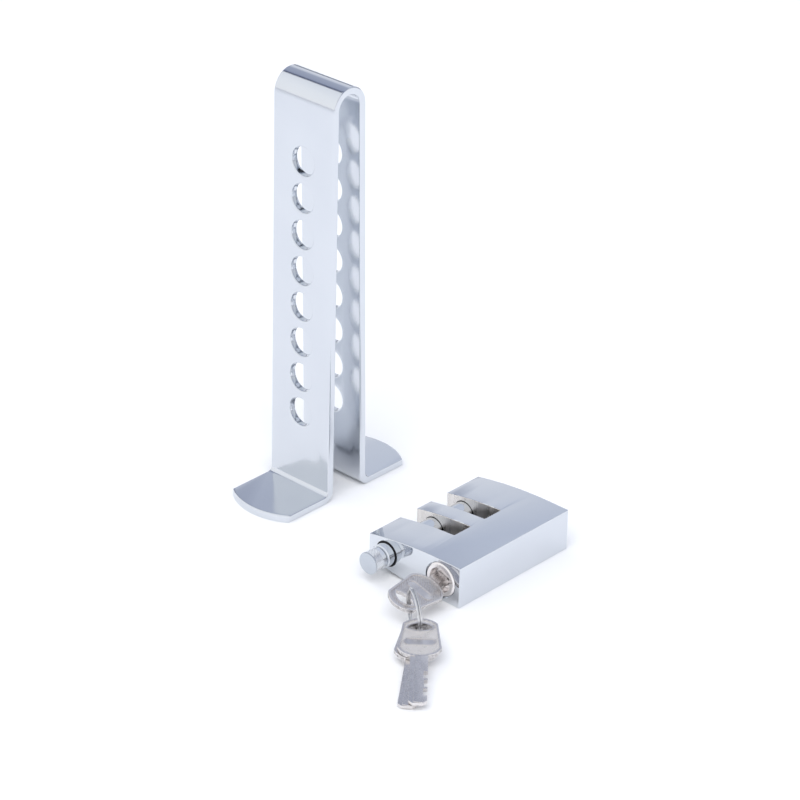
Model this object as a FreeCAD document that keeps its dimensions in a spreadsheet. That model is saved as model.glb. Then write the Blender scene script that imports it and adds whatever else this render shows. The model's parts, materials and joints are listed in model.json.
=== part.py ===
# Pedal lock: a U-shaped strap that stands on two feet, and a lock body whose bolt crosses two slots.
# The strap's legs go into the slots, and the bolt goes through a pair of the strap's holes.
import FreeCAD
import Part
import Sketcher
import math
import os
import re

doc = FreeCAD.newDocument("pedal_lock")
sheet = doc.addObject("Spreadsheet::Sheet", "Sizes")

# Driving dimensions in mm and degrees. Along the lock, X runs from its front face, "in" runs
# from the prong tips towards its solid side (-Y), and Z runs up from the surface it lies on.
sizes = {
    # places in the set
    "strap_x": 39.01, "strap_y": 81.31, "lock_x": -3.79, "lock_y": 5.42,
    # strap: 40 x 4 flat bar, bent to a U with two outward feet
    "strap_wide": 40.0, "strap_thick": 4.0, "strap_tall": 220.6, "crown_wide": 22.0,
    "leg_lean": 0.76, "foot_bend": 2.5, "foot_side": 41.0, "foot_end": 47.6,
    "hole_across": 15.0, "hole_low": 44.3, "hole_pitch": 19.35, "hole_count": 8,
    "strap_edge": 0.7, "hole_edge": 0.6, "foot_edge": 1.0,
    # lock body
    "body_long": 78.8, "body_deep": 58.7, "body_thick": 22.0, "crown_from": 45.0, "crown_drop": 4.4,
    "body_edge": 0.4, "prong_front": 22.1, "slot_wide": 11.6, "prong_middle": 10.3, "slot_deep": 35.1,
    # bolt and knob
    "bolt_in": 11.5, "bolt_across": 12.0, "bolt_bore": 12.7, "bolt_bore_deep": 71.0,
    "bolt_neck": 4.6, "bolt_tip": 69.0, "bolt_travel": 47.0, "knob_across": 11.4, "knob_long": 8.8,
    "stud_across": 6.0, "stud_long": 6.5, "seal_wire": 0.7, "seal_seat": 13.7, "seal_deep": 1.0,
    "bolt_chamfer": 1.2, "bolt_rim": 0.5, "knob_bevel": 0.8, "stud_gap": 0.1,
    # detent and stop in the front prong
    "detent_x": 11.0, "detent_bore": 5.2, "detent_deep": 32.0, "ball_across": 5.0, "track_deep": 0.9,
    "track_wide": 3.8, "track_run": 2.2, "ball_gap": 0.25,
    "guide_wide": 3.4, "guide_deep": 1.7, "dog_across": 3.0, "dog_room": 0.4, "screw_long": 4.4,
    "sunk": 0.3, "hex_half": 1.2, "hex_deep": 2.6, "spring_mean": 1.75, "spring_wire": 0.6,
    "cap_long": 4.0, "cap_bevel": 0.4, "cap_gap": 0.05,
    # lock cylinder
    "cylinder_in": 46.5, "cylinder_across": 17.8, "cylinder_bore": 18.0, "cylinder_long": 38.0,
    "cylinder_proud": 0.4, "mouth_across": 18.9, "mouth_deep": 1.2, "recess_across": 13.0,
    "recess_floor": 10.8, "recess_deep": 2.8, "chamber_deep": 44.0,
    "plug_across": 12.8, "plug_bore": 13.0, "plug_front": 3.0, "plug_back": 37.6, "tail_across": 9.0,
    "tail_back": 43.0, "keyway_wide": 8.9, "keyway_tall": 2.6, "keyway_deep": 35.0,
    "wafer_first": 7.0, "wafer_pitch": 5.0, "wafer_count": 5, "wafer_thick": 0.9, "wafer_tall": 6.2,
    "groove_deep": 1.2, "groove_room": 0.3, "wafer_gap": 0.1, "spring_rise": 1.7,
    "clip_thick": 0.8, "clip_across": 14.5, "clip_groove": 7.0, "tongue_thick": 3.0,
    "pin_x": 24.0, "pin_across": 3.0, "pin_top": 3.7, "home_turn": 16.0,
    # cam and locking slider
    "cam_shaft": 7.0, "cam_bore": 7.4, "cam_offset": 2.2, "cam_peg": 3.0, "slider_x": 63.0,
    "slider_across": 7.8, "slider_bore": 8.1, "slider_bore_deep": 54.0, "slider_tip": 18.15,
    "slider_back": 52.8, "nose_across": 5.0, "nose_long": 4.6, "notch_deep": 2.3, "notch_wide": 6.2,
    # keys
    "key_thick": 2.2, "bow_long": 27.5, "bow_half_blade": 10.3, "bow_half_ring": 8.2, "blade_long": 34.5,
    "blade_wide": 8.5, "key_out": 4.5, "eye_x": 20.3, "eye_half": 6.0, "eye_outer": 7.0, "eye_inner": 10.0,
    "eye_room": 0.7, "shoulder_x": 5.5, "shoulder_round": 9.0, "bow_cap": 4.0, "tip_slope": 1.6,
    "tip_drop": 1.8,
    "cut_first": 12.0, "cut_pitch": 6.2, "cut_long": 4.8, "cut_deep": 1.9, "cut_step": 0.3,
    # split ring and where it stands
    "ring_mean": 11.3, "ring_wire": 1.15, "ring_yaw": 58.0, "ring_aside": 2.5,
    "spare_slope": 6.2, "lower_yaw": 36.5, "upper_yaw": 41.5,
}
for row, (alias, number) in enumerate(sizes.items(), 1):
    sheet.set("A%d" % row, alias)
    sheet.set("B%d" % row, str(number))
    sheet.setAlias("B%d" % row, alias)
doc.recompute()


def bound(text):
    # the names of sizes in an expression become cells of the sheet
    def cell(word):
        return "Sizes." + word.group() if word.group() in sizes else word.group()

    return re.sub(r"[a-z_]\w*", cell, text)


def value(text):
    return float(sheet.evalExpression(bound(text)))


def bind(item, **expressions):
    for name, text in expressions.items():
        item.setExpression(name.replace("__", "."), bound(text))


def put(item, x="0", y="0", z="0", turn=None, axis=(0, 0, 1)):
    # the sub-part's place: an offset, and a turn about one axis
    if turn is not None:
        item.Placement.Rotation = FreeCAD.Rotation(FreeCAD.Vector(*axis), value(turn))
    bind(item, Placement__Base__x=x, Placement__Base__y=y, Placement__Base__z=z)


def in_lock(item, x="0", inward="0", z="body_thick / 2", **turned):
    put(item, "lock_x + " + x, "lock_y - (" + inward + ")", z, **turned)


def new_body(label):
    body = doc.addObject("PartDesign::Body", label)
    body.Label = label
    return body


def new_sketch(body, role, height=None):
    sketch = body.newObject("Sketcher::SketchObject", body.Name + "_sketch")
    plane = next(item for item in body.Origin.OriginFeatures if item.Role == role)
    sketch.AttachmentSupport = [(plane, "")]
    sketch.MapMode = "FlatFace"
    if height is not None:
        bind(sketch, AttachmentOffset__Base__z=height)
    return sketch


def constrain(sketch, kind, element, text, *point):
    place = sketch.addConstraint(Sketcher.Constraint(kind, element, *point, value(text)))
    name = "%s_%d" % (kind.lower(), place)
    sketch.renameConstraint(place, name)
    bind(sketch, **{"Constraints__" + name: text})


def circle(sketch, x, y, radius):
    centre = FreeCAD.Vector(value(x), value(y), 0)
    element = sketch.addGeometry(Part.Circle(centre, FreeCAD.Vector(0, 0, 1), value(radius)))
    constrain(sketch, "DistanceX", element, x, 3)
    constrain(sketch, "DistanceY", element, y, 3)
    constrain(sketch, "Radius", element, radius)


def arc_between(start, end, radius):
    # a positive radius runs counter-clockwise from start to end, a negative one clockwise
    across = end - start
    left = FreeCAD.Vector(-across.y, across.x, 0).normalize()
    rise = math.sqrt(max(radius ** 2 - (across.Length / 2) ** 2, 0))
    centre = (start + end) / 2 + left * math.copysign(rise, radius)
    first, last = (start, end) if radius > 0 else (end, start)
    angles = [math.atan2(point.y - centre.y, point.x - centre.x) for point in (first, last)]
    if angles[1] < angles[0]:
        angles[1] += 2 * math.pi
    return Part.ArcOfCircle(Part.Circle(centre, FreeCAD.Vector(0, 0, 1), abs(radius)), *angles)


def outline(sketch, corners):
    # a closed outline: each corner is (x, y) before a straight side or (x, y, radius) before an arc
    points = [FreeCAD.Vector(value(corner[0]), value(corner[1]), 0) for corner in corners]
    ends = []
    for place, corner in enumerate(corners):
        start, end = points[place], points[(place + 1) % len(points)]
        if len(corner) == 2:
            element = sketch.addGeometry(Part.LineSegment(start, end))
            ends.append((element, 1, 2))
            continue
        radius = value(corner[2])
        element = sketch.addGeometry(arc_between(start, end, radius))
        ends.append((element, 1, 2) if radius > 0 else (element, 2, 1))
        constrain(sketch, "Radius", element, corner[2] if radius > 0 else "-(" + corner[2] + ")")
    for place, corner in enumerate(corners):
        element, start, end = ends[place]
        after = ends[(place + 1) % len(ends)]
        sketch.addConstraint(Sketcher.Constraint("Coincident", element, end, after[0], after[1]))
        constrain(sketch, "DistanceX", element, corner[0], start)
        constrain(sketch, "DistanceY", element, corner[1], start)


def rectangle(sketch, x1, y1, x2, y2):
    outline(sketch, [(x1, y1), (x2, y1), (x2, y2), (x1, y2)])


def feature(body, kind, sketch, expressions=None, **settings):
    item = body.newObject("PartDesign::" + kind, body.Name + "_" + kind.lower())
    item.Profile = sketch
    for name, setting in settings.items():
        setattr(item, name, setting)
    bind(item, **(expressions or {}))
    before = body.Shape.Volume if body.Shape and not body.Shape.isNull() else 0.0
    doc.recompute()
    if abs(body.Shape.Volume - before) < 1e-6:
        raise ValueError(item.Name + " changes nothing")
    return item


def pad(body, sketch, length, **settings):
    return feature(body, "Pad", sketch, {"Length": length}, **settings)


def pocket(body, sketch, length=None, **settings):
    if length is None:
        return feature(body, "Pocket", sketch, Type="ThroughAll", **settings)
    return feature(body, "Pocket", sketch, {"Length": length}, **settings)


def turned(body, corners):
    # a turned piece: its half outline, (along X, radius), goes once round the X axis
    sketch = new_sketch(body, "XY_Plane")
    outline(sketch, corners)
    return feature(body, "Revolution", sketch, ReferenceAxis=(sketch, ["H_Axis"]), Angle=360)


def round_edges(body, radius, chosen):
    base = body.Tip
    names = ["Edge%d" % (place + 1) for place, edge in enumerate(base.Shape.Edges) if chosen(edge)]
    item = body.newObject("PartDesign::Fillet", body.Name + "_fillet")
    item.Base = (base, names)
    bind(item, Radius=radius)
    doc.recompute()
    return item


def coil(label, radius, wire, pitch, turns):
    # a round wire wound about Z, from z = 0
    path = doc.addObject("Part::Helix", label + "_path")
    bind(path, Radius=radius, Pitch=pitch, Height="(" + pitch + ") * " + turns)
    section = doc.addObject("Part::Circle", label + "_section")
    section.Placement.Rotation = FreeCAD.Rotation(FreeCAD.Vector(1, 0, 0), 90)
    bind(section, Radius="(" + wire + ") / 2", Placement__Base__x=radius)
    sweep = doc.addObject("Part::Sweep", label)
    sweep.Label = label
    sweep.Sections = [section]
    sweep.Spine = path
    sweep.Solid = True
    sweep.Frenet = True
    doc.recompute()
    return sweep


def on_side(edge, half_wide):
    # an edge that lies in one of the bar's two side faces, but does not stand upright at a foot's end
    box = edge.BoundBox
    beside = min(abs(box.YMin), abs(box.YMax)) > half_wide - 1e-3 and box.YLength < 1e-3
    return beside and not (box.XLength < 1e-3 and box.ZLength < value("strap_thick") + 1e-3)


def on_hole(edge):
    # a closed edge round one mouth of a hole
    box = edge.BoundBox
    return edge.isClosed() and abs(box.YLength - value("hole_across")) < 1e-2


def on_foot_end(edge):
    # the curved upper edge at a foot's end
    box = edge.BoundBox
    beyond = min(abs(box.XMin), abs(box.XMax)) > value("foot_side") - 1e-2
    return beyond and box.ZLength < 1e-3 and box.YLength > value("strap_wide / 2") and box.ZMin > 1e-3


def make_strap():
    strap = new_body("strap")
    crown = "(strap_tall - crown_wide / 2)"
    lean_x = "cos(leg_lean)"
    lean_z = "sin(leg_lean)"
    outer = "(crown_wide / 2)"
    inner = "(crown_wide / 2 - strap_thick)"
    wide_bend = "(foot_bend + strap_thick)"
    bend_z = wide_bend
    bend_x = "((%s + foot_bend + (%s - %s) * %s) / %s)" % (outer, crown, bend_z, lean_z, lean_x)
    side = new_sketch(strap, "XZ_Plane")

    def across(radius, sign):
        return sign + radius + " * " + lean_x, crown + " + " + radius + " * " + lean_z

    def beside(radius, sign):
        x = sign + "(" + bend_x + " - " + radius + " * " + lean_x + ")"
        return x, bend_z + " - " + radius + " * " + lean_z

    outline(side, [
        ("foot_end", "0"),
        ("foot_end", "strap_thick"),
        (bend_x, "strap_thick", "-foot_bend"),
        beside("foot_bend", ""),
        across(outer, "") + (outer,),
        across(outer, "-"),
        beside("foot_bend", "-") + ("-foot_bend",),
        ("-" + bend_x, "strap_thick"),
        ("-foot_end", "strap_thick"),
        ("-foot_end", "0"),
        ("-" + bend_x, "0", wide_bend),
        beside(wide_bend, "-"),
        across(inner, "-") + ("-" + inner,),
        across(inner, ""),
        beside(wide_bend, "") + (wide_bend,),
        (bend_x, "0"),
    ])
    pad(strap, side, "strap_wide", Midplane=True)
    # the feet end in arcs
    bulge = "(foot_end - foot_side)"
    end_arc = "((strap_wide ^ 2 / 4 + %s ^ 2) / (2 * %s))" % (bulge, bulge)
    plan = new_sketch(strap, "XY_Plane")
    rectangle(plan, "-foot_end - 20", "-strap_wide", "foot_end + 20", "strap_wide")
    outline(plan, [
        ("foot_side", "-strap_wide / 2", end_arc),
        ("foot_side", "strap_wide / 2"),
        ("-foot_side", "strap_wide / 2", end_arc),
        ("-foot_side", "-strap_wide / 2"),
    ])
    pocket(strap, plan, Midplane=True)
    # a row of hole pairs through both legs
    hole = new_sketch(strap, "YZ_Plane")
    circle(hole, "0", "hole_low", "hole_across / 2")
    first = pocket(strap, hole, Midplane=True)
    row = strap.newObject("PartDesign::LinearPattern", "strap_hole_row")
    row.Originals = [first]
    row.Direction = (hole, ["V_Axis"])
    bind(row, Length="hole_pitch * (hole_count - 1)", Occurrences="hole_count")
    strap.Tip = row
    doc.recompute()
    half_wide = value("strap_wide") / 2
    round_edges(strap, "foot_edge", on_foot_end)
    round_edges(strap, "strap_edge", lambda edge: on_side(edge, half_wide))
    round_edges(strap, "hole_edge", on_hole)
    put(strap, "strap_x", "strap_y")
    return strap


def make_lock_body():
    # the outline across the prongs, crowned towards their tips, runs the whole length
    body = new_body("lock_body")
    section = new_sketch(body, "YZ_Plane")
    crown = "((crown_from ^ 2 + crown_drop ^ 2) / (2 * crown_drop))"
    outline(section, [
        ("-body_deep", "body_thick"),
        ("-body_deep", "0"),
        ("-crown_from", "0", crown),
        ("0", "crown_drop"),
        ("0", "body_thick - crown_drop", crown),
        ("-crown_from", "body_thick"),
    ])
    pad(body, section, "body_long")
    slots = new_sketch(body, "XY_Plane")
    second = "(prong_front + slot_wide + prong_middle)"
    rectangle(slots, "prong_front", "-slot_deep", "prong_front + slot_wide", "1")
    rectangle(slots, second, "-slot_deep", second + " + slot_wide", "1")
    pocket(body, slots, Midplane=True)
    round_edges(body, "body_edge", lambda edge: edge.Length > 6)
    front = [
        ("bolt_in", "bolt_bore / 2", "bolt_bore_deep"),
        ("bolt_in", "seal_seat / 2", "seal_deep"),
        ("cylinder_in", "cylinder_bore / 2", "chamber_deep"),
        ("cylinder_in", "mouth_across / 2", "mouth_deep"),
        ("cylinder_in", "cam_bore / 2", "slider_x"),
    ]
    for inward, radius, deep in front:
        bore = new_sketch(body, "YZ_Plane")
        circle(bore, "-" + inward, "body_thick / 2", radius)
        pocket(body, bore, deep, Reversed=True)
    tips = [
        ("slider_x", "slider_bore", "slider_bore_deep"),
        ("detent_x", "detent_bore", "detent_deep"),
    ]
    for x, across, deep in tips:
        bore = new_sketch(body, "XZ_Plane", "-1")
        circle(bore, x, "body_thick / 2", across + " / 2")
        pocket(body, bore, deep + " + 1", Reversed=True)
    pin = new_sketch(body, "XY_Plane")
    circle(pin, "pin_x", "-cylinder_in", "pin_across / 2 + 0.02")
    pocket(body, pin, "pin_top", Reversed=True)
    in_lock(body, z="0")


def make_bolt():
    bolt = new_body("locking_bolt")
    radius = "bolt_across / 2"
    turned(bolt, [
        ("-bolt_neck - stud_long", "0"),
        ("-bolt_neck - stud_long", "stud_across / 2"),
        ("-bolt_neck", "stud_across / 2"),
        ("-bolt_neck", radius + " - bolt_rim"),
        ("-bolt_neck + bolt_rim", radius),
        ("bolt_tip - bolt_chamfer", radius),
        ("bolt_tip", radius + " - bolt_chamfer"),
        ("bolt_tip", "0"),
    ])
    # a guide slot for the stop screw on the tip side, a ball track opposite, and the slider's notch
    guide = new_sketch(bolt, "XZ_Plane", "guide_deep - bolt_across / 2")
    stop = "(dog_across / 2 + dog_room)"
    guide_end = "detent_x + bolt_travel + " + stop
    rectangle(guide, "detent_x - " + stop, "-guide_wide / 2", guide_end, "guide_wide / 2")
    pocket(bolt, guide)
    track = new_sketch(bolt, "XZ_Plane", "bolt_across / 2 - track_deep")
    track_end = "detent_x + bolt_travel + track_run"
    rectangle(track, "detent_x - track_run", "-track_wide / 2", track_end, "track_wide / 2")
    pocket(bolt, track, Reversed=True)
    notch = new_sketch(bolt, "XZ_Plane", "bolt_across / 2 - notch_deep")
    rectangle(notch, "slider_x - notch_wide / 2", "-bolt_across", "slider_x + notch_wide / 2", "bolt_across")
    pocket(bolt, notch, Reversed=True)
    in_lock(bolt, inward="bolt_in")

    knob = new_body("knurled_knob")
    radius = "knob_across / 2"
    end = "-bolt_neck - knob_long"
    turned(knob, [
        (end, "0"),
        (end, radius + " - knob_bevel"),
        (end + " + knob_bevel", radius),
        ("-bolt_neck - stud_gap - knob_bevel", radius),
        ("-bolt_neck - stud_gap", radius + " - knob_bevel"),
        ("-bolt_neck - stud_gap", "stud_across / 2 + stud_gap"),
        ("-bolt_neck - stud_long - 2 * stud_gap", "stud_across / 2 + stud_gap"),
        ("-bolt_neck - stud_long - 2 * stud_gap", "0"),
    ])
    in_lock(knob, inward="bolt_in")


def make_bolt_fittings():
    # everything that sits round the bolt in the front prong, and the plug of the slider's bore
    seal = doc.addObject("Part::Torus", "bolt_seal")
    seal.Label = "bolt_seal"
    bind(seal, Radius1="bolt_across / 2 + seal_wire / 2 + 0.1", Radius2="seal_wire / 2")
    in_lock(seal, "seal_wire / 2 + 0.1", "bolt_in", turn="90", axis=(0, 1, 0))

    screw = new_body("stop_screw")
    dog_end = "bolt_in - bolt_across / 2 + guide_deep - dog_room"
    turned(screw, [
        ("sunk", "0"),
        ("sunk", "detent_bore / 2 - stud_gap"),
        ("screw_long", "detent_bore / 2 - stud_gap"),
        ("screw_long", "dog_across / 2"),
        (dog_end, "dog_across / 2"),
        (dog_end, "0"),
    ])
    socket = new_sketch(screw, "YZ_Plane")
    corners = []
    for corner in range(6):
        angle = 60 * corner
        corners.append(("hex_half * cos(%d)" % angle, "hex_half * sin(%d)" % angle))
    outline(socket, corners)
    pocket(screw, socket, "hex_deep", Reversed=True)
    in_lock(screw, "detent_x", turn="-90")

    ball = doc.addObject("Part::Sphere", "detent_ball")
    ball.Label = "detent_ball"
    bind(ball, Radius="ball_across / 2")
    in_lock(ball, "detent_x", "bolt_in + bolt_across / 2 - track_deep + ball_gap + ball_across / 2")

    spring_start = "(bolt_in + bolt_across / 2 - track_deep + ball_gap + ball_across + dog_room)"
    spring_pitch = "(detent_deep - spring_wire - " + spring_start + ") / 5"
    spring = coil("detent_spring", "spring_mean", "spring_wire", spring_pitch, "5")
    in_lock(spring, "detent_x", spring_start, turn="90", axis=(1, 0, 0))

    cap = new_body("slider_bore_plug")
    turned(cap, [
        ("sunk", "0"),
        ("sunk", "slider_bore / 2 - cap_gap - cap_bevel"),
        ("sunk + cap_bevel", "slider_bore / 2 - cap_gap"),
        ("cap_long", "slider_bore / 2 - cap_gap"),
        ("cap_long", "0"),
    ])
    in_lock(cap, "slider_x", turn="-90")


def make_cylinder():
    housing = new_body("cylinder_housing")
    outer = "cylinder_across / 2"
    turned(housing, [
        ("-cylinder_proud", "recess_across / 2"),
        ("-cylinder_proud", outer + " - 0.7"),
        ("-cylinder_proud + 0.7", outer),
        ("cylinder_long", outer),
        ("cylinder_long", "plug_bore / 2"),
        ("recess_deep", "plug_bore / 2"),
        ("recess_deep", "recess_floor / 2"),
    ])
    grooves = new_sketch(housing, "YZ_Plane", "wafer_first - 1")
    side = "(plug_bore / 2 + groove_deep)"
    rise = "(wafer_tall / 2 + groove_room)"
    rectangle(grooves, "-" + side, "-" + rise, side, rise)
    pocket(housing, grooves, "wafer_pitch * (wafer_count - 1) + 3", Reversed=True)
    hole = new_sketch(housing, "XY_Plane", "pin_top + 0.1 - body_thick / 2")
    circle(hole, "pin_x", "0", "pin_across / 2 + 0.05")
    pocket(housing, hole)
    in_lock(housing, inward="cylinder_in")

    pin = doc.addObject("Part::Cylinder", "cylinder_pin")
    pin.Label = "cylinder_pin"
    bind(pin, Radius="pin_across / 2", Height="pin_top - 0.3")
    in_lock(pin, "pin_x", "cylinder_in", "0.2")


def make_plug():
    plug = new_body("plug")
    radius = "plug_across / 2"
    tail = "tail_across / 2"
    turned(plug, [
        ("plug_front", "0"),
        ("plug_front", radius),
        ("plug_back", radius),
        ("plug_back", tail),
        ("cylinder_long + 0.2", tail),
        ("cylinder_long + 0.2", "clip_groove / 2 - 0.05"),
        ("cylinder_long + clip_thick + 0.4", "clip_groove / 2 - 0.05"),
        ("cylinder_long + clip_thick + 0.4", tail),
        ("tail_back", tail),
        ("tail_back", "0"),
    ])
    keyway = new_sketch(plug, "YZ_Plane")
    rectangle(keyway, "-keyway_wide / 2", "-keyway_tall / 2", "keyway_wide / 2", "keyway_tall / 2")
    pocket(plug, keyway, "keyway_deep", Reversed=True)
    slot = new_sketch(plug, "YZ_Plane", "tail_back - 2.4")
    rectangle(slot, "-tail_across", "-tongue_thick / 2 - 0.1", "tail_across", "tongue_thick / 2 + 0.1")
    pocket(plug, slot, "5", Reversed=True)
    start = "wafer_first - wafer_thick / 2 - wafer_gap"
    end = "wafer_first + wafer_thick / 2 + wafer_gap"
    wafer_slot = new_sketch(plug, "XZ_Plane")
    rectangle(wafer_slot, start, "-wafer_tall / 2 - wafer_gap", end, "wafer_tall / 2 + wafer_gap")
    wafer_cut = pocket(plug, wafer_slot, Midplane=True)
    spring_slot = new_sketch(plug, "XZ_Plane", "-2.4")
    rectangle(spring_slot, start, "wafer_tall / 2", end, "wafer_tall / 2 + spring_rise")
    spring_cut = pocket(plug, spring_slot, "6", Reversed=True)
    row = plug.newObject("PartDesign::LinearPattern", "plug_wafer_row")
    row.Originals = [wafer_cut, spring_cut]
    row.Direction = (wafer_slot, ["H_Axis"])
    bind(row, Length="wafer_pitch * (wafer_count - 1)", Occurrences="wafer_count")
    plug.Tip = row
    doc.recompute()
    in_lock(plug, inward="cylinder_in", turn="home_turn", axis=(1, 0, 0))

    cam = new_body("cam_spindle")
    turned(cam, [
        ("tail_back - 2.3", "0"),
        ("tail_back - 2.3", "cam_shaft / 2"),
        ("slider_x - slider_bore / 2 - 0.1", "cam_shaft / 2"),
        ("slider_x - slider_bore / 2 - 0.1", "0"),
    ])
    tongue = new_sketch(cam, "YZ_Plane", "tail_back + 0.2")
    rectangle(tongue, "-cam_shaft", "tongue_thick / 2", "cam_shaft", "cam_shaft")
    rectangle(tongue, "-cam_shaft", "-cam_shaft", "cam_shaft", "-tongue_thick / 2")
    pocket(cam, tongue)
    peg = new_sketch(cam, "YZ_Plane", "slider_x - slider_bore / 2 - 0.1")
    circle(peg, "-cam_offset * cos(45)", "-cam_offset * sin(45)", "cam_peg / 2")
    pad(cam, peg, "slider_bore - 2.3")
    in_lock(cam, inward="cylinder_in", turn="home_turn", axis=(1, 0, 0))

    clip = new_body("plug_clip")
    ring = new_sketch(clip, "YZ_Plane", "cylinder_long + 0.3")
    circle(ring, "0", "0", "clip_across / 2")
    circle(ring, "0", "0", "clip_groove / 2")
    pad(clip, ring, "clip_thick")
    gap = new_sketch(clip, "YZ_Plane", "cylinder_long")
    rectangle(gap, "-clip_groove / 2 + 0.4", "0", "clip_groove / 2 - 0.4", "clip_across")
    pocket(clip, gap, "3", Reversed=True)
    in_lock(clip, inward="cylinder_in", turn="home_turn", axis=(1, 0, 0))


def make_wafers():
    # thin plates with a window for the blade, each with a side tab that its small spring pushes
    tall = value("wafer_tall")
    thick = value("wafer_thick")
    tab = 1.1
    plates = []
    springs = []
    for place in range(int(value("wafer_count"))):
        x = value("wafer_first") + place * value("wafer_pitch")
        start = FreeCAD.Vector(x - thick / 2, 0, 0)
        disc = Part.makeCylinder(value("plug_across") / 2 - 0.1, thick, start, FreeCAD.Vector(1, 0, 0))
        plate = disc.common(Part.makeBox(thick, 20, tall, start - FreeCAD.Vector(0, 10, tall / 2)))
        plate = plate.fuse(Part.makeBox(thick, tab, 1.4, start + FreeCAD.Vector(0, 0.9, tall / 2)))
        window = Part.makeBox(thick, value("keyway_wide") + 0.4, value("keyway_tall") + 0.2)
        aside = value("keyway_wide / 2 + 2 * wafer_gap")
        below = value("keyway_tall / 2 + wafer_gap")
        window.translate(start - FreeCAD.Vector(0, aside, below))
        plates.append(plate.cut(window).removeSplitter())
        path = Part.makeHelix(0.8, 3.9, 0.38)
        section = Part.Wire(Part.makeCircle(0.09, FreeCAD.Vector(0.38, 0, 0), FreeCAD.Vector(0, 1, 0)))
        spring = Part.Wire(path).makePipeShell([section], True, True)
        spring.rotate(FreeCAD.Vector(0, 0, 0), FreeCAD.Vector(1, 0, 0), -90)
        spring.translate(FreeCAD.Vector(x, -3.3, tall / 2 + 0.9))
        springs.append(spring)
    for label, solids in (("wafers", plates), ("wafer_springs", springs)):
        group = doc.addObject("Part::Feature", label)
        group.Label = label
        group.Shape = Part.makeCompound(solids)
        in_lock(group, inward="cylinder_in", turn="home_turn", axis=(1, 0, 0))


def make_slider():
    slider = new_body("locking_slider")
    radius = "slider_across / 2"
    turned(slider, [
        ("slider_tip", "0"),
        ("slider_tip", "nose_across / 2 - 0.4"),
        ("slider_tip + 0.4", "nose_across / 2"),
        ("slider_tip + nose_long", "nose_across / 2"),
        ("slider_tip + nose_long + 1.2", radius),
        ("slider_back", radius),
        ("slider_back", "0"),
    ])
    # the cam's peg works in a slot across the slider
    slot = new_sketch(slider, "XY_Plane")
    peg_in = "cylinder_in + cam_offset * cos(45 + home_turn)"
    half = "(cam_peg / 2 + 0.25)"
    rectangle(slot, peg_in + " - " + half, "-slider_bore", peg_in + " + " + half, "slider_bore / 2 - 1.6")
    pocket(slider, slot, Midplane=True)
    in_lock(slider, "slider_x", turn="-90")


def make_key(label):
    # bow and blade in one plane: the blade runs along X from the bow's edge, on the key's own axis
    key = new_body(label)
    half = "blade_wide / 2"
    ring_end = "-bow_long + bow_cap"
    end_arc = "(bow_half_ring ^ 2 + bow_cap ^ 2) / (2 * bow_cap)"
    flat = new_sketch(key, "XY_Plane")
    outline(flat, [
        ("0", "-" + half),
        ("blade_long - tip_slope", "-" + half),
        ("blade_long", "-" + half + " + tip_drop"),
        ("blade_long", half + " - tip_drop"),
        ("blade_long - tip_slope", half),
        ("0", half, "shoulder_round"),
        ("-shoulder_x", "bow_half_blade"),
        (ring_end, "bow_half_ring", end_arc),
        (ring_end, "-bow_half_ring"),
        ("-shoulder_x", "-bow_half_blade", "shoulder_round"),
    ])
    pad(key, flat, "key_thick", Midplane=True)
    # the ring's eye, and the cuts along one edge of the blade
    cuts = new_sketch(key, "XY_Plane")
    outline(cuts, [("-eye_x", "eye_half", "eye_outer"), ("-eye_x", "-eye_half", "eye_inner")])
    for place in range(3):
        start = "cut_first + %d * cut_pitch" % place
        deep = half + " - cut_deep + %d * cut_step" % (place % 2)
        rectangle(cuts, start, deep, start + " + cut_long", "blade_wide")
    pocket(key, cuts, Midplane=True)
    return key


def make_keys():
    key = make_key("key_in_lock")
    in_lock(key, "-key_out", "cylinder_in", turn="home_turn", axis=(1, 0, 0))

    # the split ring stands on its rim, with the key in the lock through one side
    wire = "ring_wire"
    ring = coil("split_ring", "ring_mean", wire, wire + " + 0.05", "1.9")
    away_x = "-cos(ring_yaw)"
    away_y = "-sin(ring_yaw)"
    centre_x = "(lock_x - key_out - eye_x - eye_room + ring_mean * %s)" % away_x
    centre_y = "(lock_y - cylinder_in - ring_aside + ring_mean * %s)" % away_y
    centre_z = "(ring_mean + ring_wire / 2 + 0.2)"
    yaw = value("ring_yaw")
    stand = FreeCAD.Rotation(FreeCAD.Vector(0, 0, 1), yaw) * FreeCAD.Rotation(FreeCAD.Vector(1, 0, 0), 90)
    stand = stand * FreeCAD.Rotation(FreeCAD.Vector(0, 0, 1), 75)
    middle = stand.multVec(FreeCAD.Vector(0, 0, 0.95 * value(wire + " + 0.05")))
    put(ring, centre_x + " - (%.6f)" % middle.x, centre_y + " - (%.6f)" % middle.y, centre_z)
    ring.Placement.Rotation = stand

    # two spare keys on the far side of the ring lie on the surface, one on the other
    reach = "(blade_long + eye_x + eye_room)"
    lower_z = "(%s * sin(spare_slope) + key_thick / 2 + 0.2)" % reach
    upper_z = "(%s + (key_thick + 0.25) / cos(spare_slope))" % lower_z
    for label, turn, eye_z in (("spare_key_a", "upper_yaw", upper_z), ("spare_key_b", "lower_yaw", lower_z)):
        spare = make_key(label)
        out = "(sqrt(ring_mean ^ 2 - (%s - %s) ^ 2))" % (centre_z, eye_z)
        flat = "((eye_x + eye_room) * cos(spare_slope))"
        x = "%s + %s * %s - %s * cos(%s)" % (centre_x, out, away_x, flat, turn)
        y = "%s + %s * %s - %s * sin(%s)" % (centre_y, out, away_y, flat, turn)
        put(spare, x, y, "%s - (eye_x + eye_room) * sin(spare_slope)" % eye_z)
        heading = FreeCAD.Rotation(FreeCAD.Vector(0, 0, 1), value(turn) + 180)
        spare.Placement.Rotation = heading * FreeCAD.Rotation(FreeCAD.Vector(0, 1, 0), value("spare_slope"))


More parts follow.
